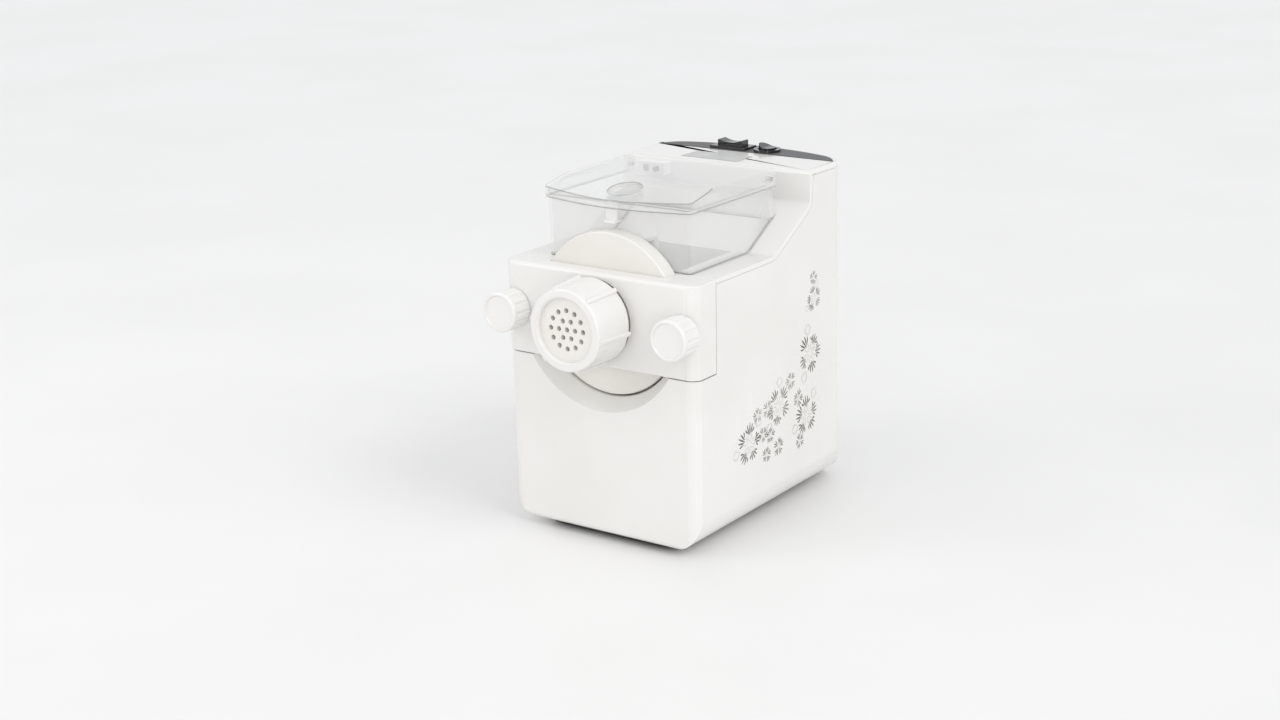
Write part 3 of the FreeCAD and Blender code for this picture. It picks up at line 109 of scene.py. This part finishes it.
def speckle(mat, dark, light, scale, bump=0.0, bump_scale=900.0, rough=(0.3, 0.4)):
    """Vary a material's colour and roughness slowly and give it a fine moulded grain."""
    tree = mat.node_tree
    shader = tree.nodes["Principled BSDF"]
    coords = tree.nodes.new("ShaderNodeTexCoord")
    noise = tree.nodes.new("ShaderNodeTexNoise")
    noise.inputs["Scale"].default_value = scale
    noise.inputs["Detail"].default_value = 3
    tree.links.new(coords.outputs["Object"], noise.inputs["Vector"])
    ramp = tree.nodes.new("ShaderNodeValToRGB")
    for stop, position, color in zip(ramp.color_ramp.elements, (0.4, 0.6), (dark, light)):
        stop.position = position
        stop.color = (*color, 1)
    tree.links.new(noise.outputs["Fac"], ramp.inputs["Fac"])
    tree.links.new(ramp.outputs["Color"], shader.inputs["Base Color"])
    span = tree.nodes.new("ShaderNodeMapRange")
    span.inputs["To Min"].default_value, span.inputs["To Max"].default_value = rough
    tree.links.new(noise.outputs["Fac"], span.inputs["Value"])
    tree.links.new(span.outputs["Result"], shader.inputs["Roughness"])
    if bump:
        grain = tree.nodes.new("ShaderNodeTexNoise")
        grain.inputs["Scale"].default_value = bump_scale
        grain.inputs["Detail"].default_value = 2
        tree.links.new(coords.outputs["Object"], grain.inputs["Vector"])
        raised = tree.nodes.new("ShaderNodeBump")
        raised.inputs["Strength"].default_value = bump
        raised.inputs["Distance"].default_value = GRAIN_DEPTH
        tree.links.new(grain.outputs["Fac"], raised.inputs["Height"])
        tree.links.new(raised.outputs["Normal"], shader.inputs["Normal"])
    return mat


def clear_plastic(name, tint, painted_tone, low, high):
    """Thin clear moulding: see-through seen square on, whiter and glossier at a slant. The glossy
    layer's base colour is painted light: a pale one is painted sheen in place of glare, a dark one is
    painted shade along clear edges.
    """
    mat = bpy.data.materials.new(name)
    mat.use_nodes = True
    tree = mat.node_tree
    tree.nodes.remove(tree.nodes["Principled BSDF"])
    through = tree.nodes.new("ShaderNodeBsdfTransparent")
    through.inputs["Color"].default_value = (*tint, 1)
    gloss = tree.nodes.new("ShaderNodeBsdfPrincipled")
    gloss.inputs["Base Color"].default_value = (*painted_tone, 1)
    gloss.inputs["Roughness"].default_value = 0.08
    gloss.inputs["Coat Weight"].default_value = 0.6
    facing = tree.nodes.new("ShaderNodeLayerWeight")
    facing.inputs["Blend"].default_value = 0.2
    span = tree.nodes.new("ShaderNodeMapRange")
    span.inputs["To Min"].default_value = low
    span.inputs["To Max"].default_value = high
    tree.links.new(facing.outputs["Facing"], span.inputs["Value"])
    mix = tree.nodes.new("ShaderNodeMixShader")
    tree.links.new(span.outputs["Result"], mix.inputs["Fac"])
    tree.links.new(through.outputs["BSDF"], mix.inputs[1])
    tree.links.new(gloss.outputs["BSDF"], mix.inputs[2])
    tree.links.new(mix.outputs["Shader"], tree.nodes["Material Output"].inputs["Surface"])
    return mat


shell_white = speckle(material("shell_white", (0.81, 0.80, 0.775), 0.22, coat=0.5),
                      (0.80, 0.788, 0.76), (0.825, 0.815, 0.792), 9.0, 0.03, 700, (0.16, 0.26))
trim_white = speckle(material("trim_white", (0.82, 0.81, 0.79), 0.25, coat=0.4),
                     (0.81, 0.80, 0.775), (0.835, 0.825, 0.805), 14.0, 0.04, 900, (0.18, 0.30))
plate_white = speckle(material("plate_white", (0.81, 0.79, 0.745), 0.35),
                      (0.80, 0.778, 0.73), (0.825, 0.807, 0.765), 16.0, 0.05, 900, (0.28, 0.4))
tub_white = speckle(material("tub_white", (0.87, 0.87, 0.86), 0.3),
                    (0.86, 0.86, 0.85), (0.88, 0.88, 0.875), 20.0, 0.05, 800, (0.25, 0.38))
dark_panel = speckle(material("dark_panel", (0.075, 0.075, 0.078), 0.42),
                     (0.07, 0.07, 0.073), (0.088, 0.088, 0.09), 60.0, 0.15, 1800, (0.36, 0.5))
black_gloss = speckle(material("black_gloss", (0.006, 0.006, 0.007), 0.16, coat=0.5),
                      (0.005, 0.005, 0.006), (0.010, 0.010, 0.011), 40.0, 0.05, 1500, (0.12, 0.24))
black_matt = speckle(material("black_matt", (0.02, 0.02, 0.02), 0.6),
                     (0.016, 0.016, 0.016), (0.028, 0.028, 0.028), 60.0, 0.3, 1500, (0.5, 0.7))
rubber = speckle(material("rubber", (0.025, 0.025, 0.026), 0.75),
                 (0.02, 0.02, 0.021), (0.035, 0.035, 0.036), 80.0, 0.4, 1200, (0.65, 0.85))
pale_rubber = speckle(material("pale_rubber", (0.66, 0.65, 0.61), 0.6),
                      (0.64, 0.63, 0.59), (0.69, 0.68, 0.64), 80.0, 0.2, 1200, (0.5, 0.7))
steel = speckle(material("steel", (0.62, 0.62, 0.61), 0.3, metallic=1.0),
                (0.58, 0.58, 0.575), (0.66, 0.66, 0.65), 120.0, 0.1, 2000, (0.24, 0.38))
brass = speckle(material("brass", (0.70, 0.53, 0.25), 0.3, metallic=1.0),
                (0.66, 0.49, 0.22), (0.74, 0.57, 0.29), 120.0, 0.1, 2000, (0.25, 0.4))
nylon = speckle(material("nylon", (0.72, 0.70, 0.64), 0.45),
                (0.70, 0.68, 0.62), (0.75, 0.73, 0.67), 40.0, 0.1, 900, (0.4, 0.55))
grey_plastic = speckle(material("grey_plastic", (0.14, 0.14, 0.145), 0.5),
                       (0.13, 0.13, 0.135), (0.16, 0.16, 0.165), 40.0, 0.15, 1200, (0.45, 0.6))
board_green = speckle(material("board_green", (0.03, 0.16, 0.06), 0.4),
                      (0.025, 0.14, 0.05), (0.04, 0.19, 0.075), 200.0, 0.1, 900, (0.3, 0.5))
# The bowl and lid take a near-white base colour on their glossy layer. It is painted sheen, whiter at
# a slant, in place of glare.
bowl_clear = clear_plastic("bowl_clear", (0.995, 0.995, 0.993), (0.95, 0.95, 0.945), 0.17, 0.66)
lid_clear = clear_plastic("lid_clear", (0.99, 0.99, 0.988), (0.93, 0.93, 0.925), 0.17, 0.66)
# Rounded edges of the clear pieces: the darker tint and grey base colour are painted shade. They draw
# the dark lines that refraction makes along clear edges.
clear_edge_shade = clear_plastic("clear_edge_shade", (0.80, 0.81, 0.80), (0.34, 0.35, 0.34), 0.45, 0.85)


# Skins over the CAD pieces: the same forms with their moulded edges rounded
def direction(edge):
    """Give the unit vector along an edge."""
    return (edge.verts[1].co - edge.verts[0].co).normalized()


def turns_by(edge, angle):
    """Tell whether the two faces at an edge turn by more than some degrees."""
    return len(edge.link_faces) == 2 and edge.calc_face_angle(0) > math.radians(angle)


def room_beside(edge):
    """Give the width by which an edge can be rounded before it meets its neighbours."""
    room = 1.0
    for vert in edge.verts:
        for other in vert.link_edges:
            if other != edge and abs(direction(other).dot(direction(edge))) < 0.8:
                share = 0.45 if turns_by(other, SHARP_ANGLE) else 0.9
                room = min(room, other.calc_length() * share)
    return room


def skin(name, mat, bevel, segments=2, angle=SHARP_ANGLE, edge_mat=None, shape=None, round_edge=None,
         wide=0.0, free=False):
    """Stand a smooth copy with rounded edges in for a node.

    Edges are rounded by bevel, and those that round_edge picks by wide, in millimetres. With free,
    each edge is held to the room beside it, and otherwise Blender holds all to the tightest.
    """
    width = max(bevel, wide) * MM
    mesh = nodes[name].data.copy()
    if "custom_normal" in mesh.attributes:
        mesh.attributes.remove(mesh.attributes["custom_normal"])
    form = bmesh.new()
    form.from_mesh(mesh)
    bmesh.ops.remove_doubles(form, verts=form.verts, dist=2e-6)
    bmesh.ops.dissolve_limit(form, angle_limit=math.radians(0.6), verts=form.verts, edges=form.edges)
    if shape:
        for vert in form.verts:
            vert.co = shape(vert.co)
    weight = form.edges.layers.float.new("bevel_weight_edge")
    for edge in form.edges:
        if turns_by(edge, angle):
            share = 1.0 if not wide or round_edge(edge) else bevel / wide
            if free:
                share = min(share, room_beside(edge) / width) if edge.is_convex else 0
                if edge_mat and min(vert.co.y for vert in edge.verts) > at(0, HINGE_ZONE, 0).y:
                    share *= HINGE_SHARE
            edge[weight] = share
    form.to_mesh(mesh)
    form.free()
    mesh.materials.clear()
    mesh.materials.append(mat)
    if edge_mat:
        mesh.materials.append(edge_mat)
    for face in mesh.polygons:
        face.use_smooth = True
        face.material_index = 0
    piece = bpy.data.objects.new("skin_" + name, mesh)
    bpy.context.scene.collection.objects.link(piece)
    soft = piece.modifiers.new("edges", "BEVEL")
    soft.width = width
    soft.segments = segments
    soft.limit_method = "WEIGHT"
    soft.use_clamp_overlap = not free
    soft.miter_outer = "MITER_ARC"
    if edge_mat:
        soft.material = 1
    weights = piece.modifiers.new("normals", "WEIGHTED_NORMAL")
    weights.keep_sharp = True
    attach(piece, body_of_node[name])
    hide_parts(name)


def deck_rim(edge):
    """Tell whether an edge is a long one along the top of the body's side."""
    tops = [f for f in edge.link_faces if f.normal.z > 0.3]
    sides = [f for f in edge.link_faces if abs(f.normal.z) < 0.1 and abs(f.normal.x) > 0.6]
    return (len(tops) == 1 and len(sides) == 1 and abs(edge.verts[0].co.x) > 80 * MM
            and edge.calc_length() > 12 * MM)


def nut_shape(co):
    """Draw the nut's grips out into slim ridges that fade towards its mouth."""
    centre = at(0, 0, NUT_AXIS)
    x, z = co.x - centre.x, co.z - centre.z
    radius = math.hypot(x, z) / MM
    ahead = (FACE_Y - co.y) / MM - NUT_FOOT
    share = min(1, max(0, ahead / NUT_LENGTH))
    body = NUT_RADIUS - NUT_TAPER * share
    turn = math.degrees(math.atan2(z, x)) + GRIP_OFFSET
    off = (turn + GRIP_PITCH / 2) % GRIP_PITCH - GRIP_PITCH / 2
    if radius < NUT_CORE or abs(off) >= GRIP_HALF or radius <= body - 0.3 or not 1 < ahead < 40:
        return co
    radius = (body + (radius - body) * (1 - GRIP_FADE * share)) * MM
    turn = math.radians(turn - off + off * GRIP_SLIM - GRIP_OFFSET)
    return Vector((centre.x + radius * math.cos(turn), co.y, centre.z + radius * math.sin(turn)))


def fuller(name):
    """Draw a knob a little wider round its own axis."""
    low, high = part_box(name)
    x, z = (low.x + high.x) / 2, (low.z + high.z) / 2
    return lambda co: Vector((x + (co.x - x) * KNOB_GROWTH, co.y, z + (co.z - z) * KNOB_GROWTH))


def paint(name, mat):
    """Give a node that is rarely seen its finished material."""
    mesh = nodes[name].data
    mesh.materials.clear()
    mesh.materials.append(mat)


skins = {
    "housing": (shell_white, 0.7), "chamber_plate": (plate_white, 0.5), "mixing_tub": (tub_white, 0.6),
    "auger": (tub_white, 0.5), "pasta_die": (plate_white, 0.25), "lid_catch": (trim_white, 0.4),
    "control_panel": (dark_panel, 0.3), "large_switch_frame": (black_gloss, 0.5),
    "small_switch_frame": (black_gloss, 0.6), "rocker_large": (black_gloss, 0.6),
    "rocker_small": (black_gloss, 0.6), "safety_guard": (trim_white, 0.5),
    "base_plate": (black_matt, 0.5), "rubber_feet": (rubber, 0.5), "power_inlet": (black_matt, 0.4),
}
for name, (mat, bevel) in skins.items():
    skin(name, mat, bevel)
for name, wide in (("top_cover", 2.2), ("front_panel", 1.15)):
    skin(name, shell_white, 0.8, segments=3, angle=50, round_edge=deck_rim, wide=wide, free=True)
for name in ("knob_left", "knob_right"):
    skin(name, trim_white, 0.35, shape=fuller(name))
skin("die_nut", trim_white, 0.5, shape=nut_shape)
# The bowl and lid get painted sheen on their walls and painted shade on their rounded edges.
for name, mat in (("mixing_bowl", bowl_clear), ("lid", lid_clear)):
    skin(name, mat, 0.8, edge_mat=clear_edge_shade, free=True)
painted = {
    "threaded_inserts": brass, "chamber_gasket": pale_rubber, "die_seal": pale_rubber,
    "knob_screw_left": steel, "knob_screw_right": steel, "tub_bush": brass, "hinge_pins": steel,
    "output_shaft": steel, "shaft_seal": rubber, "output_gear": nylon, "idler_gear": nylon,
    "idler_pin": steel, "motor_pinion": brass, "gear_case": grey_plastic,
    "gear_case_cover": grey_plastic, "motor": steel, "motor_shaft": steel, "cooling_fan": nylon,
    "motor_stand": steel, "circuit_board": board_green, "board_parts": grey_plastic,
    "inlet_contacts": brass, "guard_window": grey_plastic, "safety_plunger": black_gloss,
    "micro_switch": black_matt,
}
for name, mat in painted.items():
    paint(name, mat)


# Flat pieces that only the scene has: the ornament and a bare label plate
def side_at(z):
    """Half width of the drafted body at a height, in millimetres."""
    return SIDE_FOOT + SIDE_WIDENING * (z - FOOT_HEIGHT) / SIDE_HEIGHT


def flat_piece(name, mat, faces):
    """Join flat polygons, given as lists of points, into one piece on the body."""
    form = bmesh.new()
    for points in faces:
        form.faces.new([form.verts.new(p) for p in points])
    mesh = bpy.data.meshes.new(name)
    form.to_mesh(mesh)
    form.free()
    mesh.materials.append(mat)
    piece = bpy.data.objects.new(name, mesh)
    bpy.context.scene.collection.objects.link(piece)
    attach(piece, "machine")


def stroke(points, width):
    """Turn a curved line on the side into tapering quads, given as (along, up) points."""
    faces = []
    rims = []
    last = len(points) - 1
    for i, (y, z) in enumerate(points):
        before, after = points[max(0, i - 1)], points[min(last, i + 1)]
        dy, dz = after[0] - before[0], after[1] - before[1]
        length = math.hypot(dy, dz) or 1
        half = width / 2 * (0.25 + 0.75 * math.sin(math.pi * i / last) ** 0.7)
        rims.append([at(side_at(z) + PRINT_LIFT, y - dz / length * side * half,
                        z + dy / length * side * half) for side in (1, -1)])
    for first, second in zip(rims, rims[1:]):
        faces.append([first[0], first[1], second[1], second[0]])
    return faces


def petal(y, z, turn, start, end, half, width):
    """Outline one petal, which leaves a flower's middle in a direction."""
    faces = []
    for side in (-1, 1):
        line = []
        for k in range(9):
            t = k / 8
            out = start + (end - start) * t
            swell = side * half * math.sin(math.pi * t ** 1.2)
            line.append((y + out * math.cos(turn) - swell * math.sin(turn),
                         z + out * math.sin(turn) + swell * math.cos(turn)))
        faces += stroke(line, width)
    return faces


# Each flower: its middle along and up the side, its reach in millimetres and its turn in degrees
rand = random.Random(4)
dark_strokes, pale_strokes = [], []
for y, z, reach, first in ((82, 82, 19, 12), (129, 103, 19, 48), (178, 81, 19, 20), (183, 138, 20, 65),
                           (189, 187, 12, 30), (150, 121, 9, 35), (163, 101, 9, 0), (112, 105, 9, 70),
                           (95, 104, 8, 20), (104, 84, 8, 50), (116, 80, 8, 10), (110, 64, 8, 80),
                           (130, 66, 9, 10), (166, 60, 8, 40), (188, 206, 7, 75)):
    large = reach > LARGE_FLOWER
    fan = (-0.45, -0.225, 0, 0.225, 0.45) if large else (-0.36, 0, 0.36)
    inner, thickness = (0.42, 0.088) if large else (0.26, 0.12)
    for k in range(PETALS):
        turn = math.radians(first + 360 / PETALS * k + rand.uniform(-7, 7))
        grown = reach * rand.uniform(0.9, 1.06)
        for off in fan:
            near = reach * (inner + 0.35 * abs(off)) * rand.uniform(0.94, 1.06)
            far = grown * (1 - 0.9 * off * off)
            line = []
            for t in (0, 0.25, 0.5, 0.75, 1):
                out = near + (far - near) * t
                ray = turn + off * (0.62 + 0.38 * math.sin(math.pi * t * 0.6))
                line.append((y + out * math.cos(ray), z + out * math.sin(ray)))
            dark_strokes += stroke(line, reach * thickness)
        pale_strokes += petal(y, z, turn, reach * 0.12, reach * 0.62, reach * 0.16, reach * 0.06)
    if large:
        for k in range(2):
            turn = math.radians(first + 36 + 144 * k)
            pale_strokes += petal(y, z, turn, reach * 0.85, reach * 1.4, reach * 0.22, reach * 0.09)
print_dark = speckle(material("print_dark", (0.17, 0.16, 0.125), 0.4, coat=0.3),
                     (0.11, 0.105, 0.08), (0.30, 0.29, 0.25), 25.0, rough=(0.3, 0.45))
print_pale = speckle(material("print_pale", (0.66, 0.66, 0.63), 0.35, coat=0.3),
                     (0.62, 0.62, 0.59), (0.70, 0.70, 0.67), 25.0)
label_grey = speckle(material("label_grey", (0.52, 0.52, 0.51), 0.35),
                     (0.50, 0.50, 0.49), (0.54, 0.54, 0.53), 30.0)
flat_piece("ornament", print_dark, dark_strokes)
flat_piece("ornament_pale", print_pale, pale_strokes)
flat_piece("label_plate", label_grey,
           [[at(x, y, LABEL_HEIGHT) for x, y in ((-41, 190), (19, 190), (19, 217), (-41, 217))]])

# Stage: a pale floor, even light from all sides, a window on the right and a soft lamp on the left
floor_tone = speckle(material("floor_tone", (0.84, 0.835, 0.825), 0.35),
                     (0.83, 0.825, 0.815), (0.85, 0.845, 0.84), 3.0, rough=(0.3, 0.42))
floor_form = bmesh.new()
bmesh.ops.create_grid(floor_form, x_segments=1, y_segments=1, size=FLOOR_HALF)
floor_mesh = bpy.data.meshes.new("floor")
floor_form.to_mesh(floor_mesh)
floor_form.free()
floor_mesh.materials.append(floor_tone)
floor = bpy.data.objects.new("floor", floor_mesh)
bpy.context.scene.collection.objects.link(floor)

world = bpy.data.worlds.new("surround")
bpy.context.scene.world = world
world.use_nodes = True
sky = world.node_tree
background = sky.nodes["Background"]
background.inputs["Color"].default_value = (0.97, 0.98, 1.0, 1)
background.inputs["Strength"].default_value = 0.86
seen = sky.nodes.new("ShaderNodeBackground")
seen.inputs["Color"].default_value = (0.95, 0.95, 0.945, 1)
seen.inputs["Strength"].default_value = 0.95
light_path = sky.nodes.new("ShaderNodeLightPath")
either = sky.nodes.new("ShaderNodeMath")
either.operation = "MAXIMUM"
sky.links.new(light_path.outputs["Is Camera Ray"], either.inputs[0])
sky.links.new(light_path.outputs["Is Transmission Ray"], either.inputs[1])
blend = sky.nodes.new("ShaderNodeMixShader")
sky.links.new(either.outputs["Value"], blend.inputs["Fac"])
sky.links.new(background.outputs["Background"], blend.inputs[1])
sky.links.new(seen.outputs["Background"], blend.inputs[2])
sky.links.new(blend.outputs["Shader"], sky.nodes["World Output"].inputs["Surface"])


def sun(name, heading, strength, spread, color):
    """Add a distant light that shines along a heading."""
    light = bpy.data.lights.new(name, "SUN")
    light.energy = strength
    light.angle = math.radians(spread)
    light.color = color
    item = bpy.data.objects.new(name, light)
    item.rotation_euler = Vector(heading).to_track_quat("-Z", "Y").to_euler()
    bpy.context.scene.collection.objects.link(item)


def lamp(name, place, target, width, height, power, color):
    """Add a soft rectangular light that shines from a place at a target."""
    light = bpy.data.lights.new(name, "AREA")
    light.shape = "RECTANGLE"
    light.size = width
    light.size_y = height
    light.energy = power
    light.color = color
    item = bpy.data.objects.new(name, light)
    item.location = place
    item.rotation_euler = (Vector(target) - Vector(place)).to_track_quat("-Z", "Y").to_euler()
    bpy.context.scene.collection.objects.link(item)


sun("window", (-0.75, 0.12, -0.7), 0.75, 30, (1.0, 1.0, 0.99))
sun("room", (0.3, 0.8, -0.75), 0.22, 50, (1.0, 0.98, 0.94))
lamp("strip", (1.1, -1.5, 0.5), (0, -0.05, 0.18), 0.25, 1.1, 3.5, (1.0, 0.99, 0.97))
lamp("lamp", (-1.1, -1.2, 1.0), (0, -0.05, 0.18), 0.5, 0.8, 2.5, (1.0, 0.98, 0.95))

# Camera at the photograph's viewing angle
azimuth = math.radians(34.75)
elevation = math.radians(16.29)
roll = math.radians(-1.21)
back = Vector((math.sin(azimuth) * math.cos(elevation), -math.cos(azimuth) * math.cos(elevation),
               math.sin(elevation)))
right = Vector((math.cos(azimuth), math.sin(azimuth), 0))
up = back.cross(right)
cam_x = right * math.cos(roll) + up * math.sin(roll)
cam_y = up * math.cos(roll) - right * math.sin(roll)
lens = bpy.data.cameras.new("view")
lens.sensor_width = 36
lens.lens = 57.56
lens.shift_x = -0.0199
lens.shift_y = -0.0104
camera = bpy.data.objects.new("view", lens)
bpy.context.scene.collection.objects.link(camera)
aim = Matrix((cam_x, cam_y, back)).transposed()
distance = 1.80442
camera.matrix_world = Matrix.Translation(at(0, 100, 150) + back * distance) @ aim.to_4x4()
bpy.context.scene.camera = camera
bpy.context.scene.view_settings.view_transform = "Standard"
